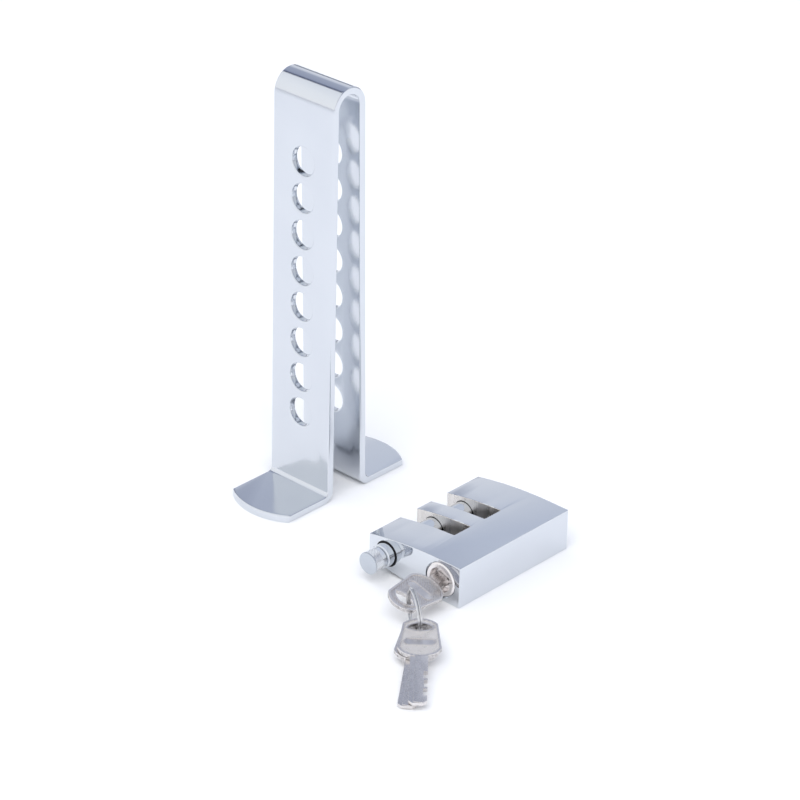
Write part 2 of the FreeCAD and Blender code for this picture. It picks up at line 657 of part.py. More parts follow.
make_strap()
make_lock_body()
make_bolt()
make_bolt_fittings()
make_cylinder()
make_plug()
make_wafers()
make_slider()
make_keys()
doc.recompute()

nodes = [
    "strap", "lock_body", "locking_bolt", "knurled_knob", "bolt_seal", "stop_screw", "detent_ball",
    "detent_spring", "slider_bore_plug", "cylinder_housing", "cylinder_pin", "plug", "cam_spindle",
    "plug_clip", "wafers", "wafer_springs", "locking_slider", "key_in_lock", "split_ring",
    "spare_key_a", "spare_key_b",
]
for item in doc.Objects:
    if "Invalid" in item.State or "Error" in item.State:
        raise ValueError(item.Name + " failed")
os.makedirs("parts", exist_ok=True)
for label in nodes:
    shape = doc.getObjectsByLabel(label)[0].Shape
    if shape.isNull() or not shape.isValid():
        raise ValueError(label + " has no sound shape")
    shape.exportStep("parts/%s.step" % label)
print(len(nodes), "nodes written")
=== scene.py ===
# Pedal lock set: a chromed strap on two feet, the lock body with its bolt and cylinder,
# and keys on a split ring.
import bmesh
import bpy
import json
import math
from mathutils import Matrix, Vector


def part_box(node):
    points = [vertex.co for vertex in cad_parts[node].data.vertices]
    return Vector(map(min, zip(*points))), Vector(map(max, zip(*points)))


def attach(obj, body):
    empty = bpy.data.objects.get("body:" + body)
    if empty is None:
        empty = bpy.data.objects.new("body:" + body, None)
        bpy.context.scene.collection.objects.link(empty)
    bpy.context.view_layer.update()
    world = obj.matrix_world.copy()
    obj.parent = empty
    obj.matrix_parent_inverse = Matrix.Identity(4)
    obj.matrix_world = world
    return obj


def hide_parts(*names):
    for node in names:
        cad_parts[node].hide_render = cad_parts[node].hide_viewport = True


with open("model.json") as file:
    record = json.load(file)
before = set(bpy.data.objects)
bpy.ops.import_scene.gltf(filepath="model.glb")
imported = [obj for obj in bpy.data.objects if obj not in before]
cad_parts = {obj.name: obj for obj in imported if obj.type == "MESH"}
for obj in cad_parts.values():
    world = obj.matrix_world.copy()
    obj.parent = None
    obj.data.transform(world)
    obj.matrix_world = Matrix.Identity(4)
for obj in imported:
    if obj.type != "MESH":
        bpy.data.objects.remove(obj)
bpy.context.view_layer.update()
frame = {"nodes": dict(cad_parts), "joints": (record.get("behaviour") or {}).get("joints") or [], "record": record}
nodes = frame["nodes"]
joints = {joint["name"]: joint for joint in frame["joints"]}
mm = 0.001
print("frame loaded:", len(nodes), "CAD nodes")


def middle(node):
    low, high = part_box(node)
    return (low + high) / 2


def putNode(tree, kind, inputs=None, output=0, **settings):
    # a node with its settings, its inputs linked or set, and one of its outputs
    made = tree.nodes.new(kind)
    for name, setting in settings.items():
        setattr(made, name, setting)
    for name, value in (inputs or {}).items():
        if isinstance(value, bpy.types.NodeSocket):
            tree.links.new(value, made.inputs[name])
        else:
            made.inputs[name].default_value = value
    return made.outputs[output] if made.outputs else None


def meshOf(name, data, tree=None, values=None):
    # the plain mesh of a curve, or of a mesh that one Geometry Nodes tree has run on
    holder = bpy.data.objects.new(name, data)
    bpy.context.scene.collection.objects.link(holder)
    if tree:
        modifier = holder.modifiers.new("maker", "NODES")
        modifier.node_group = tree
        for item in tree.interface.items_tree:
            if item.in_out == "INPUT" and item.name in values:
                modifier[item.identifier] = values[item.name]
    view = bpy.context.evaluated_depsgraph_get()
    mesh = bpy.data.meshes.new_from_object(holder.evaluated_get(view))
    bpy.data.objects.remove(holder)
    return mesh


def growTree(name, sockets):
    # an empty Geometry Nodes tree with named inputs, and those inputs
    tree = bpy.data.node_groups.new(name, "GeometryNodeTree")
    tree.interface.new_socket("Geometry", in_out="OUTPUT", socket_type="NodeSocketGeometry")
    for socket, kind in sockets.items():
        tree.interface.new_socket(socket, in_out="INPUT", socket_type="NodeSocket" + kind)
    return tree, tree.nodes.new("NodeGroupInput").outputs


def endTree(tree, instances, material):
    solid = putNode(tree, "GeometryNodeRealizeInstances", {"Geometry": instances})
    dressed = putNode(tree, "GeometryNodeSetMaterial", {"Geometry": solid, "Material": material})
    out = tree.nodes.new("NodeGroupOutput")
    tree.links.new(dressed, out.inputs[0])
    return tree


def shade(shell, degrees):
    # smooth faces, with a sharp edge wherever two of them fold by more than the angle
    for face in shell.faces:
        face.smooth = True
    for edge in shell.edges:
        edge.smooth = len(edge.link_faces) == 2 and edge.calc_face_angle(0) < math.radians(degrees)


cameraLook = {
    "fromStrap": (-1.07254, -1.03911, 0.83861),  # metres from the strap's foot centre
    "azimuth": -47.468,
    "elevation": 27.944,
    "roll": -0.931,
    "lens": 152.02,
    "sensor": 36,
    "clip": (0.05, 60),
}


def makeCamera(look):
    azimuth = math.radians(look["azimuth"])
    elevation = math.radians(look["elevation"])
    roll = math.radians(look["roll"])
    forward = Vector((-math.sin(azimuth) * math.cos(elevation),
                      math.cos(azimuth) * math.cos(elevation),
                      -math.sin(elevation)))
    level = Vector((math.cos(azimuth), math.sin(azimuth), 0))
    upright = level.cross(forward)
    right = level * math.cos(roll) - upright * math.sin(roll)
    up = right.cross(forward)
    turn = Matrix((right, up, -forward)).transposed().to_4x4()
    foot = middle("strap")
    data = bpy.data.cameras.new("camera")
    data.lens = look["lens"]
    data.sensor_width = look["sensor"]
    data.clip_start, data.clip_end = look["clip"]
    camera = bpy.data.objects.new("camera", data)
    bpy.context.scene.collection.objects.link(camera)
    camera.matrix_world = Matrix.Translation(Vector((foot.x, foot.y, 0)) + Vector(look["fromStrap"])) @ turn
    bpy.context.scene.camera = camera


studio = {
    "nearStops": [  # -X half: height of the direction from 0 below to 1 above, and its light
        (0.00, (0.80, 0.82, 0.85)),
        (0.50, (0.97, 0.98, 1.00)),
        (0.78, (0.95, 0.97, 1.00)),
        (1.00, (0.80, 0.83, 0.90)),
    ],
    "farStops": [  # +X half
        (0.00, (0.80, 0.82, 0.85)),
        (0.50, (0.73, 0.76, 0.81)),
        (0.60, (0.77, 0.79, 0.85)),
        (0.71, (0.68, 0.715, 0.80)),
        (0.76, (0.57, 0.615, 0.73)),
        (0.88, (0.625, 0.67, 0.77)),
        (1.00, (0.715, 0.75, 0.82)),
    ],
    "halfAt": (0.0, 0.03),
    "sideShade": [  # a dark gap between the halves overhead, then a dim ceiling beyond it
        (0.500, (1.00, 1.00, 1.00)),
        (0.515, (0.12, 0.13, 0.18)),
        (0.550, (0.16, 0.18, 0.25)),
        (0.590, (0.56, 0.58, 0.66)),
        (0.770, (0.70, 0.71, 0.75)),
        (0.820, (1.00, 1.00, 1.00)),
    ],
    "shadeAbove": (0.54, 0.62),
    "duskColour": (0.045, 0.06, 0.12),  # a dark band low down on the +X side
    "duskAt": (0.35, 0.72),
    "duskHeights": [
        (0.480, (0, 0, 0)),
        (0.498, (1, 1, 1)),
        (0.525, (1, 1, 1)),
        (0.600, (0, 0, 0)),
    ],
    "skyStrength": 1.12,
    "lamps": [  # place, size, watts
        ((-0.7, -0.5, 1.5), 1.3, 12.0),
        ((1.1, -0.7, 1.1), 0.9, 4.5),
        ((0.1, 1.3, 1.3), 1.1, 4.5),
    ],
    "lampsAim": (0, 0, 0.05),
    "floorColour": (0.93, 0.93, 0.935),
    "floorHalf": 6.0,
}


def makeStudio(look):
    world = bpy.data.worlds.new("studio")
    bpy.context.scene.world = world
    world.use_nodes = True
    tree = world.node_tree
    tree.nodes.clear()

    def put(kind, inputs, output=0, **settings):
        return putNode(tree, kind, inputs, output, **settings)

    def ramp(value, stops):
        colour = put("ShaderNodeValToRGB", {"Fac": value})
        marks = colour.node.color_ramp.elements
        while len(marks) < len(stops):
            marks.new(0.5)
        for mark, (position, tone) in zip(marks, stops):
            mark.position = position
            mark.color = (*tone, 1)
        return colour

    def rise(value, span):
        inputs = {"Value": value, "From Min": span[0], "From Max": span[1]}
        return put("ShaderNodeMapRange", inputs, interpolation_type="SMOOTHSTEP")

    def blend(amount, first, second, way="MIX"):
        inputs = {"Factor": amount, 6: first, 7: second}
        return put("ShaderNodeMix", inputs, 2, data_type="RGBA", blend_type=way)

    place = put("ShaderNodeTexCoord", {}, "Generated")
    along = put("ShaderNodeSeparateXYZ", {0: place}, "X")
    upwards = put("ShaderNodeSeparateXYZ", {0: place}, "Z")
    height = put("ShaderNodeMapRange", {"Value": upwards, "From Min": -1})
    across = put("ShaderNodeMapRange", {"Value": along, "From Min": -1})
    sky = blend(rise(along, look["halfAt"]), ramp(height, look["nearStops"]), ramp(height, look["farStops"]))
    sky = blend(rise(height, look["shadeAbove"]), sky, ramp(across, look["sideShade"]), "MULTIPLY")
    dusk = {0: ramp(height, look["duskHeights"]), 1: rise(along, look["duskAt"])}
    sky = blend(put("ShaderNodeMath", dusk, operation="MULTIPLY"), sky, (*look["duskColour"], 1))
    back = put("ShaderNodeBackground", {"Color": sky, "Strength": look["skyStrength"]})
    put("ShaderNodeOutputWorld", {"Surface": back})
    for number, (spot, size, watts) in enumerate(look["lamps"]):
        data = bpy.data.lights.new("softbox%d" % number, "AREA")
        data.shape = "SQUARE"
        data.size = size
        data.energy = watts
        lamp = bpy.data.objects.new("softbox%d" % number, data)
        bpy.context.scene.collection.objects.link(lamp)
        lamp.visible_glossy = False  # the metal mirrors the plain studio, not the lamps
        lamp.location = spot
        lamp.rotation_euler = (Vector(look["lampsAim"]) - Vector(spot)).to_track_quat("-Z", "Y").to_euler()


class Tap:  # one socket of a material, so that its maths reads as an expression
    def __init__(self, finish, socket):
        self.finish = finish
        self.socket = socket

    def sum(self, operation, *values):
        return self.finish.node("ShaderNodeMath", {"operation": operation}, dict(enumerate(values)))

    def __add__(self, other):
        return self.sum("ADD", self, other)

    def __sub__(self, other):
        return self.sum("SUBTRACT", self, other)

    def __rsub__(self, other):
        return self.sum("SUBTRACT", other, self)

    def __mul__(self, other):
        return self.sum("MULTIPLY", self, other)

    def __gt__(self, other):
        return self.sum("GREATER_THAN", self, other)

    def __lt__(self, other):
        return self.sum("LESS_THAN", self, other)

    __radd__ = __add__
    __rmul__ = __mul__


class Finish:  # a material with one Principled shader
    def __init__(self, name, **fixed):
        self.material = bpy.data.materials.new(name)
        self.material.use_nodes = True
        self.tree = self.material.node_tree
        self.shader = self.tree.nodes["Principled BSDF"]
        for socket, value in fixed.items():
            self.shader.inputs[socket.replace("_", " ")].default_value = value
        self.place = self.node("ShaderNodeTexCoord", out="Object")

    def node(self, kind, settings=None, values=None, out=0):
        sockets = {name: value.socket if isinstance(value, Tap) else value
                   for name, value in (values or {}).items()}
        return Tap(self, putNode(self.tree, kind, sockets, out, **(settings or {})))

    def along(self, axis):
        return self.node("ShaderNodeSeparateXYZ", values={0: self.place}, out=axis)

    def noise(self, scale, detail=3.0, stretch=(1, 1, 1)):
        placed = self.node("ShaderNodeMapping", values={"Vector": self.place, "Scale": stretch})
        values = {"Vector": placed, "Scale": scale, "Detail": detail}
        return self.node("ShaderNodeTexNoise", values=values)

    def between(self, amount, first, second):
        # each end is a colour or a tap
        ends = [end if isinstance(end, Tap) else (*end, 1) for end in (first, second)]
        values = {"Factor": amount, 6: ends[0], 7: ends[1]}
        return self.node("ShaderNodeMix", {"data_type": "RGBA"}, values, out=2)

    def bump(self, height, strength, distance):
        values = {"Height": height, "Strength": strength, "Distance": distance}
        return self.node("ShaderNodeBump", values=values)

    def feed(self, **taps):
        for socket, tap in taps.items():
            self.tree.links.new(tap.socket, self.shader.inputs[socket.replace("_", " ")])
        return self.material


floorLook = {"cloud": 3.0, "roughness": 0.62, "specular": 0.1, "lighter": 0.01}


def floorFinish():
    look = Finish("paleFloor", Roughness=floorLook["roughness"], Specular_IOR_Level=floorLook["specular"])
    base = studio["floorColour"]
    lighter = tuple(channel + floorLook["lighter"] for channel in base)
    return look.feed(Base_Color=look.between(look.noise(floorLook["cloud"]), base, lighter))


def makeFloor():
    half = studio["floorHalf"]
    mesh = bpy.data.meshes.new("floor")
    corners = [(-half, -half, 0), (half, -half, 0), (half, half, 0), (-half, half, 0)]
    mesh.from_pydata(corners, [], [(0, 1, 2, 3)])
    floor = bpy.data.objects.new("floor", mesh)
    bpy.context.scene.collection.objects.link(floor)
    mesh.materials.append(floorFinish())


fineBump = 0.00002  # metres

chromeLook = {
    "tint": (0.705, 0.730, 0.765),
    "worn": (0.655, 0.682, 0.725),
    "roughness": 0.045,
    "haze": 0.04,           # extra roughness where the plate is clouded
    "streakHaze": 0.04,
    "evened": 0.03,         # taken off the roughness again, for what the clouds and streaks add
    "cloudScale": 38.0,     # this and the other scales are per metre
    "streakScale": 900.0,
    "peelScale": 260.0,     # ripple of the plate
    "peel": 0.000006,
    "scratch": 0.000002,
}
strapLook = dict(chromeLook, roughness=0.11, haze=0.08)
lockLook = dict(chromeLook, evened=0.02)


def chromeFinish(name, look, brushed):
    finish = Finish(name, Metallic=1.0)
    clouds = finish.noise(look["cloudScale"], detail=4.0)
    streaks = finish.noise(look["streakScale"], detail=2.0, stretch=brushed)
    peel = finish.noise(look["peelScale"], detail=2.0)
    height = look["peel"] * peel + look["scratch"] * streaks
    return finish.feed(
        Base_Color=finish.between(clouds, look["tint"], look["worn"]),
        Roughness=clouds * look["haze"] + streaks * look["streakHaze"] + look["roughness"] - look["evened"],
        Normal=finish.bump(height * (1 / mm), 1.0, mm),
    )


knobLook = {
    "knurl": (0.86, 0.875, 0.90),
    "worn": (0.74, 0.76, 0.79),
    "end": (0.54, 0.575, 0.62),
    "endDeep": 0.0007,      # metres of the knob's end that count as faced
    "cloudScale": 400.0,
    "roughness": 0.12,
    "haze": 0.10,
    "endHaze": 0.08,
    "evened": 0.05,
    "bump": 0.08,
}


def knobFinish(look):
    # bright plated knurl, and a duller faced end
    finish = Finish("knobChrome", Metallic=1.0)
    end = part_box("knurled_knob")[0].x
    faced = finish.along("X") < end + look["endDeep"]
    clouds = finish.noise(look["cloudScale"])
    plated = finish.between(clouds, look["knurl"], look["worn"])
    return finish.feed(
        Base_Color=finish.between(faced, plated, look["end"]),
        Roughness=clouds * look["haze"] + faced * look["endHaze"] + look["roughness"] - look["evened"],
        Normal=finish.bump(clouds, look["bump"], fineBump),
    )


slotLook = {
    "tint": (0.90, 0.87, 0.84),
    "shade": (0.56, 0.535, 0.51),
    "margin": 0.00018,      # metres beyond a slot's walls that still count as milled
    "boxInset": 0.0005,     # metres from a slot's walls to the record's box of its root
    "cutScale": 420.0,
    "cutStretch": (1, 1, 0.12),
    "cut": 0.02,
    "cutHaze": 0.25,
    "roughness": 0.16,
}


def lockFinish(look, slots):
    # polished chrome outside, and milled walls with streaks inside the two slots
    finish = Finish("lockChrome", Metallic=1.0)
    x = finish.along("X")
    margin = slotLook["margin"]
    inside = None
    for low, high in slots["spans"]:
        here = (x > low - margin) * (x < high + margin)
        inside = here if inside is None else inside + here
    inside = inside * (finish.along("Y") > slots["root"] - margin)
    clouds = finish.noise(look["cloudScale"], detail=4.0)
    peel = finish.noise(look["peelScale"], detail=2.0)
    cuts = finish.noise(slotLook["cutScale"], stretch=slotLook["cutStretch"])
    plated = finish.between(clouds, look["tint"], look["worn"])
    milled = finish.between(cuts, slotLook["shade"], slotLook["tint"])
    smooth = look["roughness"] + clouds * look["haze"] - look["evened"]
    rough = slotLook["roughness"] + cuts * slotLook["cutHaze"]
    height = peel * look["peel"] * (1 - inside) + cuts * inside * slotLook["cut"] * mm
    return finish.feed(
        Base_Color=finish.between(inside, plated, milled),
        Roughness=smooth * (1 - inside) + rough * inside,
        Normal=finish.bump(height * (1 / mm), 1.0, mm),
    )


nickelLook = {
    "tint": (0.92, 0.88, 0.87),
    "dull": (0.76, 0.73, 0.72),
    "roughness": 0.17,
    "ringPitch": 0.00035,   # metres
    "cloudScale": 220.0,
    "haze": 0.16,
    "ringHaze": 0.02,
    "evened": 0.06,
    "bump": 0.12,
}


def turnedFinish(name, look, axisY, axisZ):
    # fine rings round the cylinder's axis, as a lathe leaves them
    finish = Finish(name, Metallic=1.0)
    y = finish.along("Y") - axisY
    z = finish.along("Z") - axisZ
    away = y.sum("SQRT", y * y + z * z)
    rings = y.sum("SINE", away * (2 * math.pi / look["ringPitch"]))
    clouds = finish.noise(look["cloudScale"], detail=4.0)
    return finish.feed(
        Base_Color=finish.between(clouds, look["tint"], look["dull"]),
        Roughness=clouds * look["haze"] + rings * look["ringHaze"] + look["roughness"] - look["evened"],
        Normal=finish.bump(rings, look["bump"], fineBump),
    )


satinLook = {
    "cloudScale": 300.0, "grainScale": 2700.0,
    "haze": 0.16, "grainHaze": 0.08, "evened": 0.10, "bump": 0.10,
}
satinTones = {
    "key": {"tint": (0.82, 0.79, 0.775), "dull": (0.66, 0.635, 0.63), "roughness": 0.24},
    "brass": {"tint": (0.72, 0.55, 0.27), "dull": (0.56, 0.41, 0.19), "roughness": 0.30},
    "steel": {"tint": (0.58, 0.58, 0.60), "dull": (0.42, 0.42, 0.45), "roughness": 0.28},
    "blackened": {"tint": (0.10, 0.10, 0.11), "dull": (0.05, 0.05, 0.055), "roughness": 0.42},
    "ring": {"tint": (0.74, 0.74, 0.74), "dull": (0.58, 0.58, 0.59), "roughness": 0.16},
}


def satinFinish(name, tones):
    look = dict(satinLook, **satinTones[tones])
    finish = Finish(name, Metallic=1.0)
    clouds = finish.noise(look["cloudScale"], detail=4.0)
    grain = finish.noise(look["grainScale"], detail=2.0)
    return finish.feed(
        Base_Color=finish.between(clouds, look["tint"], look["dull"]),
        Roughness=clouds * look["haze"] + grain * look["grainHaze"] + look["roughness"] - look["evened"],
        Normal=finish.bump(grain, look["bump"], fineBump),
    )


rubberLook = {
    "dark": (0.012, 0.012, 0.014), "light": (0.03, 0.03, 0.034), "speckScale": 1800.0,
    "roughness": 0.6, "specular": 0.35, "bump": 0.2,
}


def rubberFinish(look):
    finish = Finish("blackRubber", Roughness=look["roughness"], Specular_IOR_Level=look["specular"])
    specks = finish.noise(look["speckScale"])
    return finish.feed(
        Base_Color=finish.between(specks, look["dark"], look["light"]),
        Normal=finish.bump(specks, look["bump"], fineBump),
    )


def dressNodes():
    slotsAt = []
    for opening in frame["record"]["physics"]["openings"]:
        if opening["name"].endswith("_slot_root"):
            corner, far = opening["box_m"]
            slotsAt.append((corner[0] - slotLook["boxInset"], far[0] + slotLook["boxInset"]))
            root = corner[1] - slotLook["boxInset"]
    cylinder = joints["plug_turn"]["pos_m"]
    chrome = chromeFinish("strapChrome", strapLook, (1, 1, 0.06))
    boltChrome = chromeFinish("boltChrome", chromeLook, (0.05, 1, 1))
    knobChrome = knobFinish(knobLook)
    lock = lockFinish(lockLook, {"spans": slotsAt, "root": root})
    nickel = turnedFinish("cylinderNickel", nickelLook, cylinder[1], cylinder[2])
    steel = satinFinish("innerSteel", "steel")
    brass = satinFinish("innerBrass", "brass")
    keyNickel = satinFinish("keyNickel", "key")
    dress = {
        "strap": chrome, "lock_body": lock, "locking_bolt": boltChrome, "knurled_knob": knobChrome,
        "bolt_seal": rubberFinish(rubberLook), "stop_screw": satinFinish("blackenedSteel", "blackened"),
        "detent_ball": steel, "detent_spring": steel, "slider_bore_plug": boltChrome,
        "cylinder_housing": nickel, "cylinder_pin": steel, "plug": nickel, "cam_spindle": steel,
        "plug_clip": steel, "wafers": brass, "wafer_springs": steel, "locking_slider": steel,
        "key_in_lock": keyNickel, "split_ring": satinFinish("ringSteel", "ring"),
        "spare_key_a": keyNickel, "spare_key_b": keyNickel,
    }
    for node, material in dress.items():
        for place in nodes[node].material_slots:
            place.material = material
    return dress


def newPiece(name, mesh, material, body, slot, *replaced):
    piece = bpy.data.objects.new(name, mesh)
    bpy.context.scene.collection.objects.link(piece)
    mesh.materials.clear()
    mesh.materials.append(material)
    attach(piece, body)
    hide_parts(*replaced)


smoothLook = {"weld": 0.000002, "sharpAbove": 28.0}  # metres and degrees
smoothPieces = {  # node: piece name, body and slot
    "strap": ("bentStrap", "strap", "chrome_strap"),
    "lock_body": ("slottedBody", "lock", "chrome_body"),
    "locking_bolt": ("crossBolt", "bolt", "chrome_bolt"),
    "cylinder_housing": ("cylinderHousing", "lock", "nickel"),
    "plug": ("turningPlug", "plug", "nickel"),
}


def makeSmoothPieces(look, pieces, finishes):
    # each is the CAD solid itself, welded and with its curved faces shaded smooth
    for node, (name, body, slot) in pieces.items():
        shell = bmesh.new()
        shell.from_mesh(nodes[node].data)
        bmesh.ops.remove_doubles(shell, verts=shell.verts, dist=look["weld"])
        shade(shell, look["sharpAbove"])
        mesh = bpy.data.meshes.new(name)
        shell.to_mesh(mesh)
        shell.free()
        newPiece(name, mesh, finishes[node], body, slot, node)


knurlLook = {
    "around": 32,
    "height": 0.5,          # mm, as are the rounding, groove, onAxis and same
    "overlap": 1.02,        # of a tooth with the next
    "from": 0.13,           # shares of the knob's length
    "to": 0.68,
    "endRound": 0.6,
    "groove": 0.4,
    "onAxis": 1.0,          # a corner nearer the axis than this is on no wall of the bore
    "same": 0.02,
    "steps": 72,
    "roundSteps": 6,
    "sharpAbove": 35,
}


def knurlTree(look, material):
    # points in staggered rows round X, each with a small pyramid that points outwards
    tree, given = growTree("diamondKnurl", {
        "Around": "Int", "Rows": "Int", "Radius": "Float", "Start": "Float",
        "Pitch": "Float", "Height": "Float", "AxisY": "Float", "AxisZ": "Float"})

    def put(kind, inputs=None, **settings):
        return putNode(tree, kind, inputs, **settings)

    def maths(operation, first, second=0.0):
        return put("ShaderNodeMath", {0: first, 1: second}, operation=operation)

    count = maths("MULTIPLY", given["Around"], given["Rows"])
    line = put("GeometryNodeMeshLine", {"Count": count})
    index = put("GeometryNodeInputIndex")
    row = maths("FLOOR", maths("DIVIDE", maths("ADD", index, 0.5), given["Around"]))
    stagger = maths("MULTIPLY", maths("MODULO", row, 2.0), 0.5)
    angle = maths("MULTIPLY", maths("DIVIDE", maths("ADD", index, stagger), given["Around"]), 2 * math.pi)
    outY = maths("COSINE", angle)
    outZ = maths("SINE", angle)
    x = maths("ADD", given["Start"], maths("MULTIPLY", row, given["Pitch"]))
    y = maths("ADD", given["AxisY"], maths("MULTIPLY", outY, given["Radius"]))
    z = maths("ADD", given["AxisZ"], maths("MULTIPLY", outZ, given["Radius"]))
    place = put("ShaderNodeCombineXYZ", {0: x, 1: y, 2: z})
    spots = put("GeometryNodeSetPosition", {"Geometry": line, "Position": place})
    base = maths("MULTIPLY", given["Pitch"], look["overlap"])
    pyramid = put("GeometryNodeMeshCone", {"Vertices": 4, "Radius Bottom": base, "Depth": given["Height"]})
    outwards = put("ShaderNodeCombineXYZ", {0: 0.0, 1: outY, 2: outZ})
    turn = put("FunctionNodeAxesToRotation", {"Primary Axis": outwards, "Secondary Axis": (1.0, 0.0, 0.0)},
               primary_axis="Z", secondary_axis="X")
    grown = put("GeometryNodeInstanceOnPoints", {"Points": spots, "Instance": pyramid, "Rotation": turn})
    return endTree(tree, grown, material)


def turnedMesh(profile, axisY, axisZ, look):
    # a closed half outline of (x, radius) pairs, its first and last points on the axis
    steps = look["steps"]
    shell = bmesh.new()
    rings = []
    for x, radius in profile:
        if radius == 0:
            rings.append([shell.verts.new((x, axisY, axisZ))])
            continue
        ring = []
        for step in range(steps):
            angle = 2 * math.pi * step / steps
            y = axisY + radius * math.cos(angle)
            z = axisZ + radius * math.sin(angle)
            ring.append(shell.verts.new((x, y, z)))
        rings.append(ring)
    for first, second in zip(rings, rings[1:]):
        for step in range(steps):
            after = (step + 1) % steps
            corners = [first[step % len(first)], second[step % len(second)],
                       second[after % len(second)], first[after % len(first)]]
            shell.faces.new(list(dict.fromkeys(corners)))
    bmesh.ops.recalc_face_normals(shell, faces=shell.faces)
    shade(shell, look["sharpAbove"])
    return shell


def makeKnob(look, material):
    low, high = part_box("knurled_knob")
    axisY = (low.y + high.y) / 2
    axisZ = (low.z + high.z) / 2
    radius = (high.y - low.y) / 2
    length = high.x - low.x
    core = radius - look["height"] * mm
    start = low.x + look["from"] * length
    end = low.x + look["to"] * length
    pitch = math.pi * core / look["around"]  # the teeth are square, point to point round and along the knob
    rows = int((end - start) / pitch) + 1
    rounding = look["endRound"] * mm
    groove = look["groove"] * mm
    profile = [(low.x, 0), (low.x, radius - rounding)]
    for step in range(1, look["roundSteps"] + 1):
        angle = math.pi / 2 * step / look["roundSteps"]
        profile.append((low.x + rounding * (1 - math.cos(angle)), radius - rounding * (1 - math.sin(angle))))
    profile += [(start - groove, radius), (start - groove, core),
                (end + groove, core), (end + groove, radius - groove),
                (high.x - rounding, radius - groove), (high.x, radius - groove - rounding)]
    # the bore that the bolt's stud fills, as wide and deep as the CAD knob's own
    away = [(vertex.co.x, math.hypot(vertex.co.y - axisY, vertex.co.z - axisZ))
            for vertex in nodes["knurled_knob"].data.vertices]
    bore = min(out for x, out in away if out > look["onAxis"] * mm)
    boreEnd = min(x for x, out in away if abs(out - bore) < look["same"] * mm)
    profile += [(high.x, bore), (boreEnd, bore), (boreEnd, 0)]
    shell = turnedMesh(profile, axisY, axisZ, look)
    shell.from_mesh(meshOf("knurl", bpy.data.meshes.new("knurl"), knurlTree(look, material), {
        "Around": look["around"], "Rows": rows, "Radius": core, "Start": start, "Pitch": pitch,
        "Height": look["height"] * mm, "AxisY": axisY, "AxisZ": axisZ}))
    mesh = bpy.data.meshes.new("knurledKnob")
    shell.to_mesh(mesh)
    shell.free()
    newPiece("knurledKnob", mesh, material, "bolt", "chrome_knurl", "knurled_knob")


keyShape = {  # mm, in the key's own plane: the blade runs along +X from the bow's edge
    "half": 4.25, "blade": 34.5, "tip": 1.6, "tipDrop": 1.8, "shoulder": 5.5, "round": 9.0,
    "bow": 27.5, "cap": 4.0, "bowBlade": 10.3, "bowRing": 8.2,
    "eyeX": 20.3, "eyeHalf": 6.0, "eyeOuter": 7.0, "eyeInner": 10.0,
    "cuts": 3, "cutFirst": 12.0, "cutPitch": 6.2, "cutLong": 4.8, "cutDeep": 1.9, "cutStep": 0.3,
    "thick": 1.1, "field": 0.76, "rim": 1.1, "soft": 0.16,
    "panelX": -10.2, "panelLong": 7.0, "panelHalf": 2.1, "panelRim": 0.55,
    "hatchPitch": 0.85, "hatchWide": 0.46, "hatchHigh": 0.28, "hatchSlant": 45, "hatchLeast": 0.5,
    "hatchMiddle": -13, "hatchLines": 34, "hatchReach": 26.0, "hatchStep": 0.12,
    "step": 2.3, "railStart": 0.5, "railTip": 0.6, "railTipEdge": 0.1, "railEdge": 0.05, "railGap": 0.02,
    "bowStub": 0.2, "stubRound": 14,
    "softSteps": 2, "arcSteps": 14, "panelSteps": 10, "weld": 0.001, "sharpAbove": 30,
}
rimShares = {  # of a rim's width
    "eye": 0.8,             # the eye's rim against the bow's
    "hatchBow": 0.8,        # where the hatching stops, under each raised rim
    "hatchEye": 0.6,
    "hatchPanel": 0.8,
}


def arc(start, end, radius, steps=keyShape["arcSteps"]):
    # points from start up to, not including, end; counter-clockwise for a positive radius
    start, end = Vector(start), Vector(end)
    across = end - start
    left = Vector((-across.y, across.x)).normalized()
    rise = math.sqrt(max(radius ** 2 - (across.length / 2) ** 2, 0))
    centre = (start + end) / 2 + left * math.copysign(rise, radius)
    first = math.atan2(start.y - centre.y, start.x - centre.x)
    last = math.atan2(end.y - centre.y, end.x - centre.x)
    if radius > 0 and last < first:
        last += 2 * math.pi
    if radius < 0 and last > first:
        last -= 2 * math.pi
    points = []
    for step in range(steps):
        angle = first + (last - first) * step / steps
        points.append((centre.x + abs(radius) * math.cos(angle), centre.y + abs(radius) * math.sin(angle)))
    return points


def cutPlaces(k):
    # the blade's cuts from its tip back: near end, far end and floor
    places = []
    for cut in reversed(range(k["cuts"])):
        near = k["cutFirst"] + cut * k["cutPitch"]
        places.append((near, near + k["cutLong"], k["half"] - k["cutDeep"] + (cut % 2) * k["cutStep"]))
    return places


def bowOutline(k, withBlade):
    ringEnd = k["cap"] - k["bow"]
    cap = (k["bowRing"] ** 2 + k["cap"] ** 2) / (2 * k["cap"])
    half = k["half"]
    points = []
    if withBlade:
        points += [(0, -half), (k["blade"] - k["tip"], -half), (k["blade"], k["tipDrop"] - half),
                   (k["blade"], half - k["tipDrop"]), (k["blade"] - k["tip"], half)]
        for near, far, low in cutPlaces(k):
            points += [(far, half), (far, low), (near, low), (near, half)]
    else:
        points += arc((k["bowStub"], -half), (k["bowStub"], half), k["stubRound"])
    points += arc((0, half), (-k["shoulder"], k["bowBlade"]), k["round"])
    points += [(-k["shoulder"], k["bowBlade"])]
    points += arc((ringEnd, k["bowRing"]), (ringEnd, -k["bowRing"]), cap)
    points += [(ringEnd, -k["bowRing"])]
    points += arc((-k["shoulder"], -k["bowBlade"]), (0, -half), k["round"])
    return points


def eyeOutline(k):
    top, bottom = (-k["eyeX"], k["eyeHalf"]), (-k["eyeX"], -k["eyeHalf"])
    return arc(top, bottom, k["eyeOuter"]) + arc(bottom, top, k["eyeInner"])


